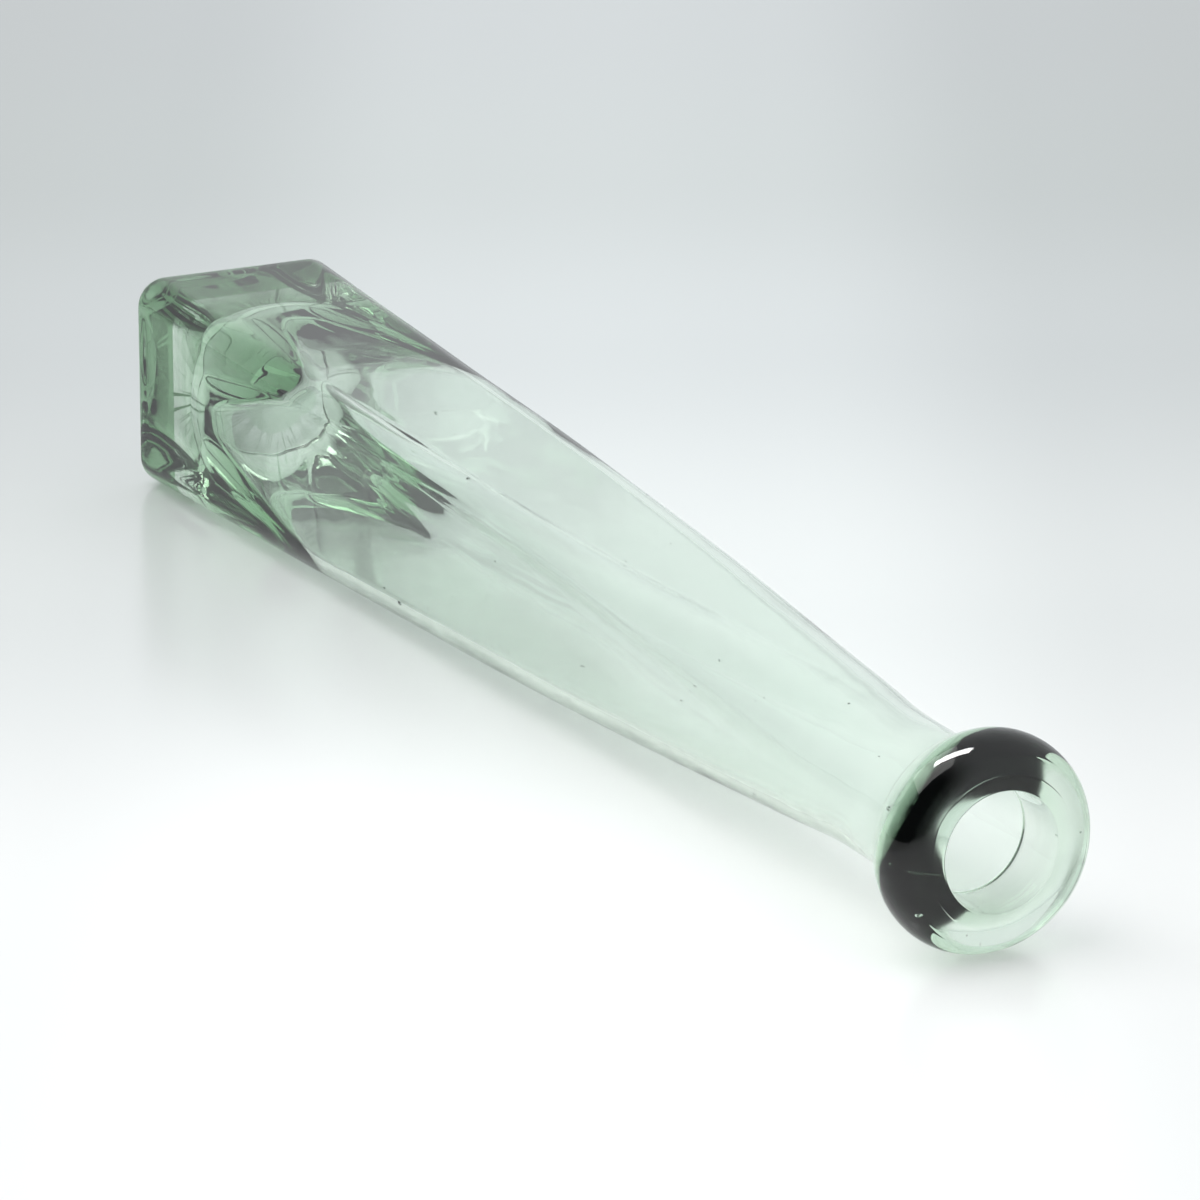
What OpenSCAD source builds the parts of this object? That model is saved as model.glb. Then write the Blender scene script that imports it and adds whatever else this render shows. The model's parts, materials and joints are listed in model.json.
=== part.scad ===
// Glass bud vase: a slim hand-made bottle with a heavy square foot, a tapering
// body that turns from square to round at the shoulder, and a fat ring of glass
// laid round its mouth. Millimetres. The vase stands on z = 0 and its axis is Z.

/* [Overall] */
// Height from the foot to the top of the mouth
vase_h = 250; // [190:1:330]
// Width of the square foot across its flats
foot_w = 33.4; // [27:0.1:45]

/* [Foot] */
// Thickness of the solid glass in the foot, up to the cavity's floor
foot_h = 14; // [6:0.5:24]
// Rounding of the foot's bottom edge, as a small bevel
foot_bevel = 0.8; // [0.2:0.1:2]

/* [Body] */
// Radius of the upright corners low on the body
corner_r = 4.5; // [2:0.1:8]
// Height at which those corners begin to soften
soften_z = 60; // [45:1:90]
// How sharply the corners turn round as they rise
soften_power = 2.4; // [1.5:0.1:4]
// Thickness of the wall at the middle of a flat side
wall_t = 2.2; // [1.2:0.1:3.5]
// Extra thickness of the wall where it meets the foot
heel_t = 2.4; // [0:0.1:4]
// Height at which that extra thickness has run out
heel_z = 64; // [40:1:90]
// Height of the bowl in which the cavity ends
bowl_h = 9; // [4:0.5:16]
// Radius of the cavity's upright corners in the middle of the body
cavity_corner_r = 6.5; // [4:0.1:9]

/* [Shoulder and neck] */
// Height of the shoulder, where the square becomes round
shoulder_h = 12; // [8:1:20]
// How far the flats stand out from the neck where the shoulder begins
shoulder_step = 0.75; // [0.2:0.05:2.5]
// Length of the round neck, from the shoulder to the mouth
neck_h = 34; // [24:1:60]
// Bore of the neck and mouth
bore_d = 17; // [12:0.1:22]
// Thickness of the neck's wall
neck_t = 1.8; // [1.4:0.1:3]
// Rounding of the mouth's inner edge
mouth_round = 1.2; // [0.4:0.1:1.3]

/* [Lip ring] */
// Height of the ring laid round the mouth
ring_h = 11.2; // [8:0.1:14]
// How far the ring stands out from the neck
ring_out = 5.2; // [4.2:0.1:8]

/* [Hidden] */
$fn = 96;

// Sizes that follow from the ones above
bore_r = bore_d / 2;
neck_r = bore_r + neck_t;
neck_z = vase_h - neck_h;
shoulder_z = neck_z - shoulder_h;
shoulder_half = neck_r + shoulder_step;
ring_tube_r = ring_h / 2;
ring_centre_r = neck_r + ring_out - ring_tube_r;
ring_z = vase_h - ring_tube_r;

// The cavity's floor is flat over this share of its width
floor_share = 0.55;
// Straight pieces in each rounded corner, and levels in each stretch of wall
corner_steps = 10;
straight_levels = 3;
soften_levels = 10;
shoulder_levels = 6;
bowl_levels = 4;

// The body's top face takes the whole end of the neck, with this much to spare
neck_ledge = 0.05;
body_top_r = (neck_r + neck_ledge) / cos(45 / corner_steps);
body_top_bore_r = bore_r - neck_ledge;

foot_colour = [0.30, 0.47, 0.38];
body_colour = [0.62, 0.76, 0.68];
ring_colour = [0.45, 0.62, 0.52];

function mix(a, b, t) = a + (b - a) * t;
function clamp01(t) = max(0, min(1, t));
function ease(t) = t * t * (3 - 2 * t);
function levels(z1, z2, n) = [for (i = [0 : n - 1]) mix(z1, z2, i / n)];

// How far the corners have turned round at height z, from 0 to 1
function roundness(z) = pow(clamp01((z - soften_z) / (neck_z - soften_z)), soften_power);
// How far up the shoulder height z is, from 0 to 1
function shoulder_part(z) = ease(clamp01((z - shoulder_z) / shoulder_h));
// How far up the thick heel height z is, from 0 to 1
function heel_part(z) = clamp01((z - foot_h) / (heel_z - foot_h));

// Outside: half the width across the flats, and the corner radius
function outer_half(z) = z < shoulder_z
    ? mix(foot_w / 2, shoulder_half, z / shoulder_z)
    : mix(shoulder_half, body_top_r, shoulder_part(z));
function outer_corner(z) = min(outer_half(z), mix(corner_r, body_top_r, roundness(z)));

// Inside: the wall is thicker at the heel, and the cavity ends in a round bowl
function wall(z) = mix(wall_t, body_top_r - body_top_bore_r, shoulder_part(z))
    + heel_t * pow(1 - heel_part(z), 2);
function bowl_share(z) = mix(floor_share, 1, sqrt(1 - pow(1 - clamp01((z - foot_h) / bowl_h), 2)));
function inner_half(z) = (outer_half(z) - wall(z)) * bowl_share(z);
function inner_corner(z) = min(inner_half(z), max(
    mix(cavity_corner_r, body_top_bore_r, roundness(z)),
    mix(inner_half(z), cavity_corner_r, ease(heel_part(z)))));

// One level: a square of half width h with corners of radius r, anticlockwise
function level(h, r, z) = [
    for (side = [0 : 3], i = [0 : corner_steps])
        let (a = side * 90 + 90 * i / corner_steps, mid = side * 90 + 45)
            [(h - r) * sqrt(2) * cos(mid) + r * cos(a),
             (h - r) * sqrt(2) * sin(mid) + r * sin(a), z]];
function outer_level(z) = level(outer_half(z), outer_corner(z), z);
function inner_level(z) = level(inner_half(z), inner_corner(z), z);

per_level = 4 * (corner_steps + 1);

// Triangles between level k and the level m that follows it
function band(k, m) = [
    for (i = [0 : per_level - 1]) let (j = (i + 1) % per_level)
        each [[k * per_level + i, m * per_level + i, m * per_level + j],
              [k * per_level + i, m * per_level + j, k * per_level + j]]];

// A closed wall: up the outside levels, down the inside ones, and back
module closed_wall(rings) {
    n = len(rings);
    polyhedron(points = [for (r = rings) each r],
               faces = [for (k = [0 : n - 1]) each band(k, (k + 1) % n)]);
}

// A solid block between its first and last levels
module solid_block(rings) {
    n = len(rings);
    polyhedron(points = [for (r = rings) each r],
               faces = concat(
                   [[for (i = [0 : per_level - 1]) i]],
                   [for (k = [0 : n - 2]) each band(k, k + 1)],
                   [[for (i = [1 : per_level]) n * per_level - i]]));
}

// The heavy square foot, solid glass up to the cavity's floor
module foot() {
    color(foot_colour)
        solid_block([
            level(foot_w / 2 - foot_bevel, corner_r - foot_bevel / 2, 0),
            outer_level(foot_bevel),
            outer_level(foot_h)]);
}

// The neck's wall, with the mouth's inner edge rounded over
module neck_wall() {
    rotate_extrude()
        difference() {
            translate([bore_r, neck_z])
                square([neck_t, neck_h]);
            translate([bore_r, vase_h - mouth_round])
                difference() {
                    square(mouth_round);
                    translate([mouth_round, 0])
                        circle(r = mouth_round);
                }
        }
}

// The blown body: square low down, round at the shoulder, with its neck
module body() {
    outside = concat(
        [for (z = levels(foot_h, soften_z, straight_levels)) outer_level(z)],
        [for (z = levels(soften_z, shoulder_z, soften_levels)) outer_level(z)],
        [for (z = levels(shoulder_z, neck_z, shoulder_levels)) outer_level(z)],
        [outer_level(neck_z)]);
    inside = concat(
        [inner_level(neck_z)],
        [for (z = levels(neck_z, shoulder_z, shoulder_levels)) if (z < neck_z) inner_level(z)],
        [for (z = levels(shoulder_z, heel_z, soften_levels)) inner_level(z)],
        [for (z = levels(heel_z, foot_h + bowl_h, straight_levels)) inner_level(z)],
        [for (z = levels(foot_h + bowl_h, foot_h, bowl_levels)) inner_level(z)],
        [inner_level(foot_h)]);
    color(body_colour) {
        closed_wall(concat(outside, inside));
        neck_wall();
    }
}

// The ring of glass laid round the end of the neck
module lip_ring() {
    color(ring_colour)
        rotate_extrude()
            difference() {
                translate([ring_centre_r, ring_z])
                    circle(r = ring_tube_r);
                translate([neck_r - 4 * ring_h, ring_z - ring_h])
                    square([4 * ring_h, 2 * ring_h]);
            }
}

foot();
body();
lip_ring();
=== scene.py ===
"""Looks of the glass bud vase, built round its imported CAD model.

The CAD model stands upright on z = 0. The main view shows the vase lying on a table, so the
table, the lights and the camera are placed in a "lying" set-up (x from the foot to the mouth,
y across, z up off the table) and turned into the model's frame by lying(). The vase itself
never moves. All lengths are in metres.
"""
import json
import math
import random

import bpy
from mathutils import Matrix, Vector, noise


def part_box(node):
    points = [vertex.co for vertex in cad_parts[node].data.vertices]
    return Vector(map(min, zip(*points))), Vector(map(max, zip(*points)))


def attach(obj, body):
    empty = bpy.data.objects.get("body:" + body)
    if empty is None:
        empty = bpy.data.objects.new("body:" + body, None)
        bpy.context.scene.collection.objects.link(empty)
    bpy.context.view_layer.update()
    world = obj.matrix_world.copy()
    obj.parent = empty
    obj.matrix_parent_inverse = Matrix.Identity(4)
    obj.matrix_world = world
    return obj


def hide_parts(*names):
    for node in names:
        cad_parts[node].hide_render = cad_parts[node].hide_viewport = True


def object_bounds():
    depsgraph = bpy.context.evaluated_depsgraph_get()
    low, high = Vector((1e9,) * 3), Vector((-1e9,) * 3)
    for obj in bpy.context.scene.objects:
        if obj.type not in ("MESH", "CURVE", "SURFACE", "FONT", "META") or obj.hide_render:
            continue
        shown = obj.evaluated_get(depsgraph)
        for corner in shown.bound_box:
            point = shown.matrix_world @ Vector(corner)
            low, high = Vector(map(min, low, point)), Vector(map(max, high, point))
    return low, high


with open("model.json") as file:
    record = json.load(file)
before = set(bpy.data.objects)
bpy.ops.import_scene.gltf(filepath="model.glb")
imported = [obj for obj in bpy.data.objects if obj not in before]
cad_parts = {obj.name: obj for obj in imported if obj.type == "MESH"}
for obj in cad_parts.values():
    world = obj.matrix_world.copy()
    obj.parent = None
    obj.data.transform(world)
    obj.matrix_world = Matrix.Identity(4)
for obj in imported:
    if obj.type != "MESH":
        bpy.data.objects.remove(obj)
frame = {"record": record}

MM = 0.001
CAD_LOW, CAD_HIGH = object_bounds()

# ------------------------------------------------------------------ sizes, from the frame
FOOT_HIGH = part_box("foot")[1]
RING_LOW, RING_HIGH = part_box("lip_ring")
MOUTH = next(m for m in frame["record"]["mounts"] if m["name"] == "mouth_bore")
BORE_BELOW_MOUNT = 16 * MM       # how far the round bore goes on below its mount

VASE_H = CAD_HIGH.z
FOOT_H = FOOT_HIGH.z
FOOT_HALF = FOOT_HIGH.x
BORE_R = MOUTH["dims"]["r_mm"] * MM
NECK_Z = MOUTH["pos_m"][2] - BORE_BELOW_MOUNT
RING_R = RING_HIGH.x
RING_TUBE_R = (VASE_H - RING_LOW.z) / 2
RING_Z = VASE_H - RING_TUBE_R
RING_CENTRE_R = RING_R - RING_TUBE_R

# ------------------------------------------------------------------ sizes of the body's shape
NECK_T = 1.8 * MM
NECK_R = BORE_R + NECK_T
NECK_FLARE = 0.5 * MM            # the neck widens by this under the ring
NECK_FLARE_Z = NECK_Z + 10 * MM  # and starts to at this height
JOIN_R = NECK_R + NECK_FLARE     # radius at which the ring and the neck are fused
MOUTH_ROUND = 0.25 * MM          # rounding of the mouth's inner edge
BORE_WAIST = 0.5 * MM            # the bore narrows by this a little inside the mouth
BORE_WAIST_DEPTH = 15.5 * MM
SHOULDER_Z = NECK_Z - 12 * MM
SHOULDER_HALF = NECK_R + 0.75 * MM
CORNER_R = 4.5 * MM
SOFTEN_Z = 60 * MM               # the corners begin to turn round at this height
SOFTEN_POWER = 3.7               # how late they do most of it
SOFTEN_END = 1.6                 # how gently they end
FOOT_ROUND = 1.6 * MM
WALL_T = 1.8 * MM                # thinner than the CAD model's, for narrow lines along the edges
HEEL_T = 2.4 * MM                # what the wall gains towards the cavity's floor
HEEL_Z = 64 * MM                 # height at which that gain begins
BOWL_H = 9 * MM                  # height of the bowl in which the cavity ends
FLOOR_SHARE = 0.55               # width of the bowl's floor, as a share of the cavity's
CORNER_THICKENING = 0.1 * MM     # how much rounder the cavity's corners are than an even wall's
BEND_EASE = 6 * MM               # how far each way a bend in the outline is spread

AROUND = 240                     # points round each level
CORNER_CROWD = 0.5               # how far they crowd to the rounded corners, from 0 to 1


def mix(a, b, t):
    return a + (b - a) * t


def clamp01(t):
    return max(0.0, min(1.0, t))


def ease(t):
    return t * t * (3 - 2 * t)


def bump_at(x, centre, width):
    return math.exp(-((x - centre) / width) ** 2)


def steps(a, b, n):
    """n values from a up to, but not including, b."""
    return [mix(a, b, i / n) for i in range(n)]


# ------------------------------------------------------------------ the ring's outline
def ring_top(r):
    """Height of the ring's front at distance r from the axis; the mouth carries it on inwards."""
    return RING_Z + math.sqrt(RING_TUBE_R ** 2 - (r - RING_CENTRE_R) ** 2)


# the ring's inner wall lies on the neck between these heights
JOIN_HIGH = ring_top(JOIN_R)
JOIN_LOW = 2 * RING_Z - JOIN_HIGH
BEAD_END = math.acos((JOIN_R - RING_CENTRE_R) / RING_TUBE_R)     # angle up the ring's section


# ------------------------------------------------------------------ the body's outline
def roundness(z):
    """How far the corners have turned round at height z, from 0 to 1, easing into the neck."""
    rise = clamp01((z - SOFTEN_Z) / (NECK_Z - SOFTEN_Z)) ** SOFTEN_POWER
    return 1 - (1 - rise) ** SOFTEN_END


def shoulder_part(z):
    return ease(clamp01((z - SHOULDER_Z) / (NECK_Z - SHOULDER_Z)))


def heel_part(z):
    return clamp01((z - FOOT_H) / (HEEL_Z - FOOT_H))


def straight_half(z):
    """Half the outside width across the flats, before its bends are eased."""
    if z < SHOULDER_Z:
        return mix(FOOT_HALF, SHOULDER_HALF, z / SHOULDER_Z)
    return mix(SHOULDER_HALF, NECK_R, shoulder_part(z))


def outer_half(z):
    """Half the outside width across the flats; blown glass has no sudden bends."""
    near = [straight_half(z + BEND_EASE * k / 3) for k in range(-3, 4)]
    return sum(near) / len(near)


def outer_corner(z):
    return mix(CORNER_R, outer_half(z), roundness(z))


def wall(z):
    return mix(WALL_T, NECK_T, shoulder_part(z))


def inner_half(z):
    """Half the cavity's width: the wall is thick at the heel, and the cavity ends in a bowl."""
    heel = HEEL_T * (1 - heel_part(z)) ** 2
    rise = clamp01((z - FOOT_H) / BOWL_H)
    bowl = mix(FLOOR_SHARE, 1, math.sqrt(1 - (1 - rise) ** 2))
    return (outer_half(z) - wall(z) - heel) * bowl


def inner_corner(z):
    """The cavity's corner radius: round at its floor, and even with the outside higher up."""
    half = inner_half(z)
    even_wall = outer_corner(z) - wall(z) + CORNER_THICKENING * (1 - roundness(z))
    low = mix(half, even_wall, ease(heel_part(z)))
    return min(half, max(even_wall, low))


def neck_radius(z):
    """The neck's outside, which flares a little under the ring."""
    flare = ease(clamp01((z - NECK_FLARE_Z) / (JOIN_LOW - NECK_FLARE_Z)))
    return outer_half(z) + NECK_FLARE * flare


def bore_radius(z):
    """The bore, which narrows a hair below the mouth and opens again lower down."""
    waist = bump_at(z, VASE_H - BORE_WAIST_DEPTH, BORE_WAIST_DEPTH / 2)
    return outer_half(z) - NECK_T - BORE_WAIST * waist


# ------------------------------------------------------------------ levels of points
def level(half, corner, z):
    """Points round a square of half width `half` with rounded corners, closer at the corners."""
    points = []
    flat = half - corner
    for i in range(AROUND):
        step = 2 * math.pi * i / AROUND
        turn = step + CORNER_CROWD / 4 * math.sin(4 * step)
        x, y = abs(math.cos(turn)), abs(math.sin(turn))
        if half * min(x, y) <= flat * max(x, y):
            reach = half / max(x, y)
        else:
            near = flat * (x + y)
            reach = near + math.sqrt(near * near - 2 * flat * flat + corner * corner)
        points.append(Vector((reach * math.cos(turn), reach * math.sin(turn), z)))
    return points


def outer_level(z):
    return level(outer_half(z), outer_corner(z), z)


def inner_level(z):
    return level(inner_half(z), inner_corner(z), z)


def round_level(radius, z):
    return level(radius, radius, z)


def shrunk_level(points, share, z):
    """A level's points drawn in to a share of their distance from the axis."""
    return [Vector((p.x * share, p.y * share, z)) for p in points]


# ------------------------------------------------------------------ hand-made unevenness
WOBBLE = 0.14 * MM               # about how far hand work moves the surface
WOBBLE_PERIOD = 34 * MM
RIPPLE = 0.014 * MM              # fine chill ripples left by the mould
RIPPLE_PERIOD = 6.0 * MM
FIELD_SHIFT = (7.3, 3.1, 5.7)    # sets the inside's field apart from the outside's
OUTSIDE, INSIDE = 1, 2
NOISE_SEED = 11                  # without one, noise_vector starts from the time of day
noise.seed_set(NOISE_SEED)


def uneven(p, side):
    """p moved a little, by a smooth field that neighbouring pieces share."""
    shift = Vector([side * s for s in FIELD_SHIFT])
    slow = noise.noise_vector(p / WOBBLE_PERIOD + shift)
    fine = noise.noise_vector(p / RIPPLE_PERIOD + 2 * shift)
    move = slow * WOBBLE + fine * RIPPLE
    move.z = 0
    return p + move


# ------------------------------------------------------------------ meshes
SHARP_ANGLE = math.radians(50)
BUBBLE_ROWS, BUBBLE_COLS = 6, 10


class Solid:
    """A closed mesh put together from stacked levels of points, with its joined faces marked."""

    def __init__(self):
        self.verts, self.faces, self.fused, self.satin = [], [], [], []

    def add_point(self, point, satin=0.0):
        self.verts.append(point)
        self.satin.append(satin)
        return len(self.verts) - 1

    def add_level(self, points, satin=0.0):
        return [self.add_point(p, satin) for p in points]

    def bridge(self, low, high, fused=False):
        n = len(low)
        for i in range(n):
            j = (i + 1) % n
            self.faces.append((low[i], low[j], high[j], high[i]))
            self.fused.append(fused)

    def bridge_all(self, chain, fused=False):
        for low, high in zip(chain, chain[1:]):
            self.bridge(low, high, fused)

    def cap(self, ring, centre, up):
        """Closes a level with a fan of faces round a centre point."""
        hub = self.add_point(centre)
        n = len(ring)
        for i in range(n):
            j = (i + 1) % n
            self.faces.append((ring[i], ring[j], hub) if up else (ring[j], ring[i], hub))
            self.fused.append(False)

    def bubble(self, centre, size):
        """A gas bubble: a small closed hollow, its faces turned inwards."""
        top = self.add_point(centre + Vector((0, 0, size.z)))
        rings = []
        for r in range(1, BUBBLE_ROWS):
            a = math.pi * r / BUBBLE_ROWS
            turns = [2 * math.pi * c / BUBBLE_COLS for c in range(BUBBLE_COLS)]
            rings.append(self.add_level([
                centre + Vector((size.x * math.sin(a) * math.cos(t),
                                 size.y * math.sin(a) * math.sin(t),
                                 size.z * math.cos(a)))
                for t in turns]))
        bottom = self.add_point(centre - Vector((0, 0, size.z)))
        for c in range(BUBBLE_COLS):
            d = (c + 1) % BUBBLE_COLS
            self.faces.append((top, rings[0][d], rings[0][c]))
            self.faces.append((bottom, rings[-1][c], rings[-1][d]))
            self.fused.extend((False, False))
        self.bridge_all(rings)

    def build(self, name):
        mesh = bpy.data.meshes.new(name)
        mesh.from_pydata(self.verts, [], self.faces)
        mark = mesh.attributes.new("fused", "FLOAT", "FACE")
        mark.data.foreach_set("value", [float(f) for f in self.fused])
        satin = mesh.attributes.new("satin", "FLOAT", "POINT")
        satin.data.foreach_set("value", self.satin)
        mesh.shade_smooth()
        mesh.set_sharp_from_angle(angle=SHARP_ANGLE)
        mesh.update()
        piece = bpy.data.objects.new(name, mesh)
        bpy.context.scene.collection.objects.link(piece)
        return piece


# ------------------------------------------------------------------ foot
FOOT_ROUND_STEPS = 6
FOOT_STEPS = 8
# a flat rest round a faint hollow underneath, and the dish of the cavity's floor:
# each level's share of the outline, and its depth into the glass
UNDERSIDE = ((0.93, 0.0), (0.8, 0.25 * MM), (0.5, 0.5 * MM), (0.2, 0.6 * MM))
UNDERSIDE_DEPTH = 0.62 * MM
DISH = ((0.8, 0.5 * MM), (0.5, 0.9 * MM), (0.2, 1.1 * MM))
DISH_DEPTH = 1.15 * MM


def make_foot():
    """Solid glass with a softly rounded bottom edge; its top holds the cavity's floor."""
    solid = Solid()
    rings = []
    for i in range(FOOT_ROUND_STEPS + 1):
        a = math.pi / 2 * i / FOOT_ROUND_STEPS
        inset, z = FOOT_ROUND * (1 - math.sin(a)), FOOT_ROUND * (1 - math.cos(a))
        rings.append(level(outer_half(z) - inset, outer_corner(z) - inset / 2, z))
    rings += [outer_level(z) for z in steps(FOOT_ROUND, FOOT_H, FOOT_STEPS)[1:]]
    rings.append(outer_level(FOOT_H))
    # the bottom level stays where it is, so that the vase rests on a flat face
    marks = [solid.add_level([uneven(p, OUTSIDE) if p.z > 0 else p for p in r]) for r in rings]
    solid.bridge_all(marks)

    under = marks[0]
    for share, depth in UNDERSIDE:
        inner = solid.add_level(shrunk_level(rings[0], share, depth))
        solid.bridge(inner, under)
        under = inner
    solid.cap(under, Vector((0, 0, UNDERSIDE_DEPTH)), up=False)

    edge = inner_level(FOOT_H)
    floor = solid.add_level([uneven(p, INSIDE) for p in edge])
    solid.bridge(marks[-1], floor, fused=True)
    for share, depth in DISH:
        inner = solid.add_level(shrunk_level(edge, share, FOOT_H - depth))
        solid.bridge(floor, inner)
        floor = inner
    solid.cap(floor, Vector((0, 0, FOOT_H - DISH_DEPTH)), up=True)
    return solid


# ------------------------------------------------------------------ body
# how many levels each stretch has
BODY_STEPS, SHOULDER_STEPS, NECK_STEPS, JOIN_STEPS = 90, 16, 24, 8
LAND_STEPS, MOUTH_STEPS = 8, 6
BORE_STEPS, CAVITY_STEPS, HEEL_STEPS, BOWL_STEPS = 40, 70, 24, 12


def join_levels():
    """The levels that the ring and the neck have in common."""
    heights = steps(JOIN_LOW, JOIN_HIGH, JOIN_STEPS) + [JOIN_HIGH]
    return [round_level(JOIN_R, z) for z in heights]


def make_body():
    """The blown wall with its neck, up the outside, over the mouth and down the inside."""
    solid = Solid()
    outside = [outer_level(z) for z in steps(FOOT_H, SHOULDER_Z, BODY_STEPS)]
    outside += [outer_level(z) for z in steps(SHOULDER_Z, NECK_Z, SHOULDER_STEPS)]
    outside += [round_level(neck_radius(z), z) for z in steps(NECK_Z, JOIN_LOW, NECK_STEPS)]

    edge_r = BORE_R + MOUTH_ROUND
    edge_z = ring_top(edge_r)
    mouth = [round_level(r, ring_top(r)) for r in steps(JOIN_R, edge_r, LAND_STEPS)[1:]]
    for i in range(MOUTH_STEPS + 1):
        a = math.pi / 2 * i / MOUTH_STEPS
        mouth.append(round_level(BORE_R + MOUTH_ROUND * (1 - math.sin(a)),
                                 edge_z - MOUTH_ROUND * (1 - math.cos(a))))

    bore_top = edge_z - MOUTH_ROUND
    bowl_z = FOOT_H + BOWL_H
    inside = [round_level(bore_radius(z), z) for z in steps(bore_top, NECK_Z, BORE_STEPS)[1:]]
    inside += [inner_level(z) for z in steps(NECK_Z, SHOULDER_Z, SHOULDER_STEPS)]
    inside += [inner_level(z) for z in steps(SHOULDER_Z, HEEL_Z, CAVITY_STEPS)]
    inside += [inner_level(z) for z in steps(HEEL_Z, bowl_z, HEEL_STEPS)]
    for i in range(BOWL_STEPS + 1):
        inside.append(inner_level(FOOT_H + BOWL_H * (1 - math.sin(math.pi / 2 * i / BOWL_STEPS))))

    marks = [solid.add_level([uneven(p, OUTSIDE) for p in r]) for r in outside]
    join_marks = [solid.add_level([uneven(p, OUTSIDE) for p in r]) for r in join_levels()]
    mouth_marks = [solid.add_level([uneven(p, OUTSIDE) for p in r], satin=1.0) for r in mouth]
    inner_marks = [solid.add_level([uneven(p, INSIDE) for p in r]) for r in inside]
    solid.bridge_all(marks + join_marks[:1])
    solid.bridge_all(join_marks, fused=True)
    solid.bridge_all([join_marks[-1]] + mouth_marks + inner_marks)
    solid.bridge(inner_marks[-1], marks[0], fused=True)
    return solid


# ------------------------------------------------------------------ lip ring
BEAD_STEPS = 200
BEAD_SWELLS = ((0.012, 1, 0.7), (0.008, 2, 2.0))     # size, times round and lag of each
MOULD_LINE_AT = 0.884            # angle up the ring's front, in radians
MOULD_LINE_W = 0.03
MOULD_LINE_H = 0.02 * MM
LAND_BLEND = 0.10                # angle past that line over which the satin of the land sets in
TOOL_MARKS = (0.14, 4.80)        # where the gathering tool touched the ring, in radians round it
TOOL_MARK_W = 0.045
TOOL_MARK_H = 0.06 * MM
TOOL_MARK_AT, TOOL_MARK_REACH = 0.45, 0.3            # angles up the ring's section


def bead_point(turn, a):
    """A point of the ring's skin, `turn` round the vase and `a` up its section."""
    swell = 1 + sum(size * math.sin(times * turn + lag) for size, times, lag in BEAD_SWELLS)
    tube = RING_TUBE_R * mix(1, swell, max(0, math.cos(a)) ** 0.5)
    tube += MOULD_LINE_H * bump_at(a, MOULD_LINE_AT, MOULD_LINE_W)
    for at in TOOL_MARKS:
        away = (turn - at + math.pi) % (2 * math.pi) - math.pi
        height = bump_at(away, 0, TOOL_MARK_W) * bump_at(a, TOOL_MARK_AT, TOOL_MARK_REACH)
        tube += TOOL_MARK_H * height
    r = RING_CENTRE_R + tube * math.cos(a)
    return Vector((math.cos(turn) * r, math.sin(turn) * r, RING_Z + tube * math.sin(a)))


def make_ring():
    """A fat bead of glass round the neck, a little uneven, with its mould line on the front."""
    solid = Solid()
    turns = [math.atan2(p.y, p.x) for p in round_level(1.0, 0.0)]
    inner_marks = [solid.add_level([uneven(p, OUTSIDE) for p in r]) for r in join_levels()]
    chain = [inner_marks[0]]
    for a in steps(-BEAD_END, BEAD_END, BEAD_STEPS)[1:]:
        land = clamp01((a - MOULD_LINE_AT) / LAND_BLEND)
        chain.append(solid.add_level([uneven(bead_point(t, a), OUTSIDE) for t in turns], satin=land))
    for i in inner_marks[-1]:
        solid.satin[i] = 1.0
    chain.append(inner_marks[-1])
    for low, high in zip(inner_marks, inner_marks[1:]):
        solid.bridge(high, low, fused=True)
    solid.bridge_all(chain)
    return solid


# ------------------------------------------------------------------ seed bubbles
RANDOM_SEED = 11
FOOT_SEEDS, BODY_SEEDS, RING_SEEDS = 14, 46, 6
SEED_SMALLEST, SEED_SPREAD = 0.08 * MM, 0.22 * MM
SEED_STRETCH = (1.2, 2.6)        # they were drawn out along the vase as it was pulled
FOOT_CLEAR, FOOT_CLEAR_Z = 4 * MM, 3 * MM            # how far they keep from the foot's skin
NECK_SEEDS_UP = 18 * MM          # how far up the neck they are found
WALL_MIDDLE = (0.4, 0.6)         # how far through the wall they lie


def add_seeds(solid, count, pick):
    """Scatters small gas bubbles, most of them tiny, at places that pick() gives."""
    for _ in range(count):
        size = SEED_SMALLEST + SEED_SPREAD * rng.random() ** 3
        solid.bubble(pick(), Vector((size, size, size * rng.uniform(*SEED_STRETCH))))


def in_foot():
    half = FOOT_HALF - FOOT_CLEAR
    x, y = rng.uniform(-half, half), rng.uniform(-half, half)
    return Vector((x, y, rng.uniform(FOOT_CLEAR_Z, FOOT_H - FOOT_CLEAR_Z)))


def in_wall():
    z = rng.uniform(FOOT_H + FOOT_CLEAR, NECK_Z + NECK_SEEDS_UP)
    i = rng.randrange(AROUND)
    out = round_level(NECK_R, z)[i] if z > NECK_Z else outer_level(z)[i]
    inn = round_level(BORE_R, z)[i] if z > NECK_Z else inner_level(z)[i]
    return out.lerp(inn, rng.uniform(*WALL_MIDDLE))


def in_ring():
    turn, a = rng.uniform(0, 2 * math.pi), rng.uniform(-1.0, 1.0)
    r = RING_CENTRE_R + RING_TUBE_R * 0.75 * math.cos(a) * rng.uniform(0.6, 1)
    return Vector((r * math.cos(turn), r * math.sin(turn), RING_Z + RING_TUBE_R * 0.6 * math.sin(a)))


# ------------------------------------------------------------------ glass
GLASS_IOR = 1.52
SKIN_ROUGHNESS, LAND_ROUGHNESS = 0.0, 0.16           # the land is the satin front of the ring
SKIN_TINTS = (0.95, 1.0, 0.97), (1.0, 1.0, 1.0)
STREAK_SCALE, STREAK_DETAIL, STREAK_STRETCH = 60.0, 3.0, 0.25
STREAK_BUMP, STREAK_DEPTH = 0.10, 0.0006
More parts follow.
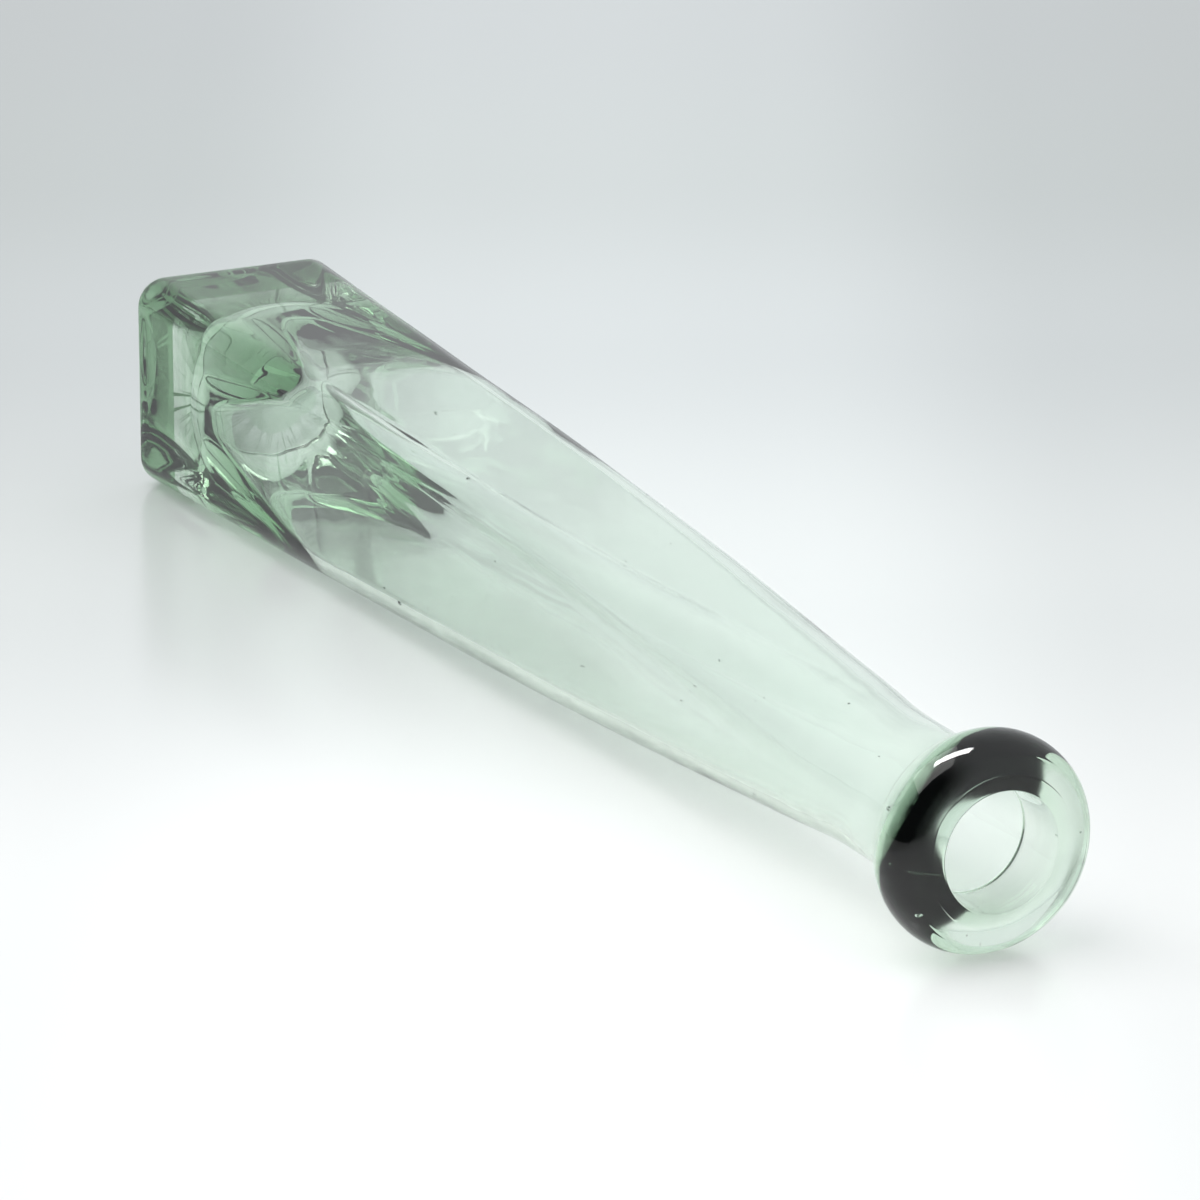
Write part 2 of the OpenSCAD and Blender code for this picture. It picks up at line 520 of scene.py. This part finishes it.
# the colour that the glass takes with its depth
FOOT_TINT, FOOT_DENSITY = (0.08, 0.42, 0.10), 42.0
RING_TINT, RING_DENSITY = (0.12, 0.46, 0.14), 25.0
WALL_TINT, WALL_DENSITY = (0.06, 0.50, 0.10), 36.0


def add_streaks(nodes, links):
    """A soft noise drawn out along the vase."""
    place = nodes.new("ShaderNodeTexCoord")
    stretch = nodes.new("ShaderNodeMapping")
    stretch.inputs["Scale"].default_value = (1.0, 1.0, STREAK_STRETCH)
    streaks = nodes.new("ShaderNodeTexNoise")
    streaks.inputs["Scale"].default_value = STREAK_SCALE
    streaks.inputs["Detail"].default_value = STREAK_DETAIL
    links.new(place.outputs["Object"], stretch.inputs["Vector"])
    links.new(stretch.outputs["Vector"], streaks.inputs["Vector"])
    return streaks.outputs["Fac"]


def glass(name, tint, density):
    """Green glass: clear at its skin, coloured by its depth. Faces marked fused let light
    straight through, because there the next piece of glass begins."""
    mat = bpy.data.materials.new(name)
    mat.use_nodes = True
    nodes, links = mat.node_tree.nodes, mat.node_tree.links
    shader = nodes["Principled BSDF"]
    output = nodes["Material Output"]
    shader.inputs["Transmission Weight"].default_value = 1.0
    shader.inputs["IOR"].default_value = GLASS_IOR
    satin = nodes.new("ShaderNodeAttribute")
    satin.attribute_name = "satin"
    rough = nodes.new("ShaderNodeMapRange")
    rough.inputs["To Min"].default_value = SKIN_ROUGHNESS
    rough.inputs["To Max"].default_value = LAND_ROUGHNESS
    links.new(satin.outputs["Fac"], rough.inputs["Value"])
    links.new(rough.outputs["Result"], shader.inputs["Roughness"])

    streaks = add_streaks(nodes, links)
    skin = nodes.new("ShaderNodeMix")
    skin.data_type = "RGBA"
    skin.inputs["A"].default_value = (*SKIN_TINTS[0], 1)
    skin.inputs["B"].default_value = (*SKIN_TINTS[1], 1)
    links.new(streaks, skin.inputs["Factor"])
    links.new(skin.outputs["Result"], shader.inputs["Base Color"])
    bump = nodes.new("ShaderNodeBump")
    bump.inputs["Strength"].default_value = STREAK_BUMP
    bump.inputs["Distance"].default_value = STREAK_DEPTH
    links.new(streaks, bump.inputs["Height"])
    links.new(bump.outputs["Normal"], shader.inputs["Normal"])

    fused = nodes.new("ShaderNodeAttribute")
    fused.attribute_name = "fused"
    clear = nodes.new("ShaderNodeBsdfTransparent")
    pick = nodes.new("ShaderNodeMixShader")
    links.new(fused.outputs["Fac"], pick.inputs["Fac"])
    links.new(shader.outputs["BSDF"], pick.inputs[1])
    links.new(clear.outputs["BSDF"], pick.inputs[2])
    links.new(pick.outputs["Shader"], output.inputs["Surface"])

    depth = nodes.new("ShaderNodeVolumeAbsorption")
    depth.inputs["Color"].default_value = (*tint, 1)
    depth.inputs["Density"].default_value = density
    links.new(depth.outputs["Volume"], output.inputs["Volume"])
    return mat


# ------------------------------------------------------------------ the pieces
def finish_piece(solid, name, node, material):
    piece = solid.build(name)
    piece.data.materials.append(material)
    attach(piece, "root")
    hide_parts(node)


rng = random.Random(RANDOM_SEED)
foot, body, ring = make_foot(), make_body(), make_ring()
add_seeds(foot, FOOT_SEEDS, in_foot)
add_seeds(body, BODY_SEEDS, in_wall)
add_seeds(ring, RING_SEEDS, in_ring)
finish_piece(foot, "foot_glass", "foot", glass("foot_glass", FOOT_TINT, FOOT_DENSITY))
finish_piece(body, "body_glass", "body", glass("body_glass", WALL_TINT, WALL_DENSITY))
finish_piece(ring, "lip_ring_glass", "lip_ring",
             glass("ring_glass", RING_TINT, RING_DENSITY))

# ------------------------------------------------------------------ the lying set-up
TILT = math.atan2(FOOT_HALF - RING_R, RING_Z)        # the foot is wider than the ring


def lying(x, y, z):
    """A point of the lying set-up, in the model's frame."""
    along = x * math.cos(TILT) - z * math.sin(TILT)
    up = x * math.sin(TILT) + z * math.cos(TILT) - FOOT_HALF
    return Vector((-y, -up, along))


ORIGIN = lying(0, 0, 0)


def lying_direction(x, y, z):
    return lying(x, y, z) - ORIGIN


def look(obj, forward, up):
    """Points obj's -Z along forward, with its Y as near up as it goes."""
    back = -forward.normalized()
    right = up.cross(back).normalized()
    top = back.cross(right)
    spot = obj.location.copy()
    obj.matrix_world = Matrix.Translation(spot) @ Matrix((right, top, back)).transposed().to_4x4()


# ------------------------------------------------------------------ table
TABLE_HALF = 4.0
TABLE_FRONT = 0.55               # the table ends in front of the mouth, on the camera's side
TABLE_GAP = 0.02 * MM            # keeps the glass off it
TABLE_ROUGHNESS = 0.22
TABLE_PAINTED_GLOW = 0.18                # painted glow: light that the table gives off itself, which softens the shadows
# painted shade, where the light falls off: its white greys away from the camera, and a little to
# both sides:
# the share of the way from near to far, or from the middle out, and the colour there
TABLE_AWAY = (-0.897, 0.442, 0)
TABLE_ASIDE = (0.442, 0.897, 0)
TABLE_NEAR, TABLE_FAR = -0.20, 0.40
TABLE_PAINTED_FALLOFF = ((0.0, (0.97, 0.97, 0.97)), (0.22, (0.76, 0.78, 0.78)), (0.46, (0.575, 0.60, 0.61)),
              (0.64, (0.50, 0.527, 0.53)), (0.84, (0.49, 0.51, 0.522)), (1.0, (0.47, 0.49, 0.50)))
TABLE_MIDDLE = 0.058
TABLE_SIDE_SHADE_REACH = 0.12
TABLE_PAINTED_SIDE_SHADE = ((0.0, (1, 1, 1)), (0.25, (0.98, 0.98, 0.98)), (0.66, (0.80, 0.80, 0.80)),
              (1.0, (0.77, 0.765, 0.76)))


def measure_along(nodes, links, place, direction):
    """The distance of a point along a direction of the lying set-up."""
    dot = nodes.new("ShaderNodeVectorMath")
    dot.operation = "DOT_PRODUCT"
    dot.inputs[1].default_value = lying_direction(*direction)
    links.new(place.outputs["Object"], dot.inputs[0])
    return dot.outputs["Value"]


def add_ramp(nodes, links, value, low, high, stops):
    """A colour ramp over value from low to high; stops are (share of the way, colour)."""
    spread = nodes.new("ShaderNodeMapRange")
    spread.inputs["From Min"].default_value = low
    spread.inputs["From Max"].default_value = high
    links.new(value, spread.inputs["Value"])
    ramp = nodes.new("ShaderNodeValToRGB")
    ramp.color_ramp.interpolation = "EASE"
    elements = ramp.color_ramp.elements
    while len(elements) < len(stops):
        elements.new(1.0)
    for element, (share, colour) in zip(elements, stops):
        element.position = share
        element.color = (*colour, 1)
    links.new(spread.outputs["Result"], ramp.inputs["Fac"])
    return ramp.outputs["Color"]


def add_table_shaded_white(nodes, links):
    """The table's white with painted shade for the light's falloff: paler near the camera and in the
    middle.
    """
    place = nodes.new("ShaderNodeTexCoord")
    depth = measure_along(nodes, links, place, TABLE_AWAY)
    # painted shade: greyer away from the camera, where the light falls off
    painted_falloff = add_ramp(nodes, links, depth, TABLE_NEAR, TABLE_FAR, TABLE_PAINTED_FALLOFF)
    offset = nodes.new("ShaderNodeMath")
    offset.operation = "SUBTRACT"
    offset.inputs[1].default_value = TABLE_MIDDLE
    links.new(measure_along(nodes, links, place, TABLE_ASIDE), offset.inputs[0])
    size = nodes.new("ShaderNodeMath")
    size.operation = "ABSOLUTE"
    links.new(offset.outputs["Value"], size.inputs[0])
    # painted shade: greyer towards both sides
    edge = add_ramp(nodes, links, size.outputs["Value"], 0.0, TABLE_SIDE_SHADE_REACH, TABLE_PAINTED_SIDE_SHADE)
    white_with_painted_shade = nodes.new("ShaderNodeMix")
    white_with_painted_shade.data_type, white_with_painted_shade.blend_type = "RGBA", "MULTIPLY"
    white_with_painted_shade.inputs["Factor"].default_value = 1.0
    links.new(painted_falloff, white_with_painted_shade.inputs["A"])
    links.new(edge, white_with_painted_shade.inputs["B"])
    return white_with_painted_shade.outputs["Result"]


def table_material():
    """A white, softly glossy top with painted shade and a painted glow that lifts its shadows, clear
    from below so that it never hides the vase.
    """
    mat = bpy.data.materials.new("table_shaded_white")
    mat.use_nodes = True
    nodes, links = mat.node_tree.nodes, mat.node_tree.links
    shader = nodes["Principled BSDF"]
    shader.inputs["Roughness"].default_value = TABLE_ROUGHNESS
    # painted glow: the table shines with its own shaded white, which lifts the shadows on it
    shader.inputs["Emission Strength"].default_value = TABLE_PAINTED_GLOW
    # the table's white, with its painted shade worked in
    white = add_table_shaded_white(nodes, links)
    links.new(white, shader.inputs["Base Color"])
    links.new(white, shader.inputs["Emission Color"])
    side = nodes.new("ShaderNodeNewGeometry")
    clear = nodes.new("ShaderNodeBsdfTransparent")
    pick = nodes.new("ShaderNodeMixShader")
    links.new(side.outputs["Backfacing"], pick.inputs["Fac"])
    links.new(shader.outputs["BSDF"], pick.inputs[1])
    links.new(clear.outputs["BSDF"], pick.inputs[2])
    links.new(pick.outputs["Shader"], nodes["Material Output"].inputs["Surface"])
    return mat


def make_table():
    corners = [(-TABLE_HALF, -TABLE_HALF), (TABLE_FRONT, -TABLE_HALF),
               (TABLE_FRONT, TABLE_HALF), (-TABLE_HALF, TABLE_HALF)]
    mesh = bpy.data.meshes.new("table")
    mesh.from_pydata([lying(x, y, -TABLE_GAP) for x, y in corners], [], [(0, 1, 2, 3)])
    mesh.materials.append(table_material())
    table = bpy.data.objects.new("table", mesh)
    bpy.context.scene.collection.objects.link(table)


make_table()

# ------------------------------------------------------------------ light
CEILING_PLACE, CEILING_TARGET, CEILING_SIZE = (0.05, -0.55, 1.25), (0.2, 0, 0), (1.3, 1.0)
CEILING_POWER = 8
CEILING_COLOUR = (1.0, 0.99, 0.97)
FILL_PLACE, FILL_TARGET, FILL_SIZE = (0.7, -1.1, 0.7), (0.1, 0, 0), (1.0, 0.8)
FILL_POWER = 1.5
STRIP_PLACE, STRIP_TARGET, STRIP_SIZE = (0.15, -0.12, 1.0), (0.25, 0, 0), (0.62, 0.2)
STRIP_POWER = 10
STRIP_FACING, STRIP_ACROSS = (0.1, 0.12, -1.0), (-0.835, 0.55, 0)
PALE, DIM = (0.90, 0.94, 0.95), (0.06, 0.07, 0.07)
DIM_SIDE = (0.55, -0.80, 0.25)
DIM_FROM, DIM_FULL = 0.35, 0.8   # how nearly a direction points there for it to be dim


def area_light(name, place, target, size, power, colour=(1, 1, 1)):
    data = bpy.data.lights.new(name, "AREA")
    data.shape = "RECTANGLE"
    data.size, data.size_y = size
    data.energy = power
    data.color = colour
    lamp = bpy.data.objects.new(name, data)
    bpy.context.scene.collection.objects.link(lamp)
    lamp.location = lying(*place)
    look(lamp, lying(*target) - lamp.location, lying_direction(0, 0, 1))
    lamp.visible_camera = False
    return lamp


def make_lights():
    area_light("ceiling", CEILING_PLACE, CEILING_TARGET, CEILING_SIZE, CEILING_POWER, CEILING_COLOUR)
    # the fill only lifts the table's shadows, and the strip only makes highlights on the glass
    fill = area_light("fill", FILL_PLACE, FILL_TARGET, FILL_SIZE, FILL_POWER)
    fill.visible_glossy = fill.visible_transmission = False
    strip = area_light("strip", STRIP_PLACE, STRIP_TARGET, STRIP_SIZE, STRIP_POWER)
    look(strip, lying_direction(*STRIP_FACING), lying_direction(*STRIP_ACROSS))
    strip.visible_diffuse = strip.visible_transmission = False


def make_world():
    """Pale all round, and dim only towards the unlit front left, where the camera stands."""
    world = bpy.data.worlds.new("studio")
    bpy.context.scene.world = world
    world.use_nodes = True
    nodes, links = world.node_tree.nodes, world.node_tree.links
    backdrop = nodes["Background"]
    place = nodes.new("ShaderNodeTexCoord")
    towards = nodes.new("ShaderNodeVectorMath")
    towards.operation = "DOT_PRODUCT"
    towards.inputs[1].default_value = lying_direction(*DIM_SIDE).normalized()
    ramp = nodes.new("ShaderNodeMapRange")
    ramp.interpolation_type = "SMOOTHSTEP"
    ramp.inputs["From Min"].default_value = DIM_FROM
    ramp.inputs["From Max"].default_value = DIM_FULL
    shade = nodes.new("ShaderNodeMix")
    shade.data_type = "RGBA"
    shade.inputs["A"].default_value = (*PALE, 1)
    shade.inputs["B"].default_value = (*DIM, 1)
    links.new(place.outputs["Generated"], towards.inputs[0])
    links.new(towards.outputs["Value"], ramp.inputs["Value"])
    links.new(ramp.outputs["Result"], shade.inputs["Factor"])
    links.new(shade.outputs["Result"], backdrop.inputs["Color"])


make_lights()
make_world()

# ------------------------------------------------------------------ camera
CAMERA_PLACE = (1.1121, -0.4829, 0.3671)
CAMERA_DOWN = 17.8               # degrees below the horizon
CAMERA_TURN = 153.8              # degrees round from the vase's mouth direction
CAMERA_LENS = 240.0
CAMERA_SENSOR = 36.0
CAMERA_NEAR, CAMERA_FAR = 0.05, 50.0


def make_camera():
    data = bpy.data.cameras.new("camera")
    data.sensor_width = CAMERA_SENSOR
    data.lens = CAMERA_LENS
    data.clip_start, data.clip_end = CAMERA_NEAR, CAMERA_FAR
    camera = bpy.data.objects.new("camera", data)
    bpy.context.scene.collection.objects.link(camera)
    camera.location = lying(*CAMERA_PLACE)
    down, turn = math.radians(CAMERA_DOWN), math.radians(CAMERA_TURN)
    forward = (math.cos(turn) * math.cos(down), math.sin(turn) * math.cos(down), -math.sin(down))
    look(camera, lying_direction(*forward), lying_direction(0, 0, 1))
    bpy.context.scene.camera = camera


make_camera()
bpy.context.scene.view_settings.view_transform = "Standard"
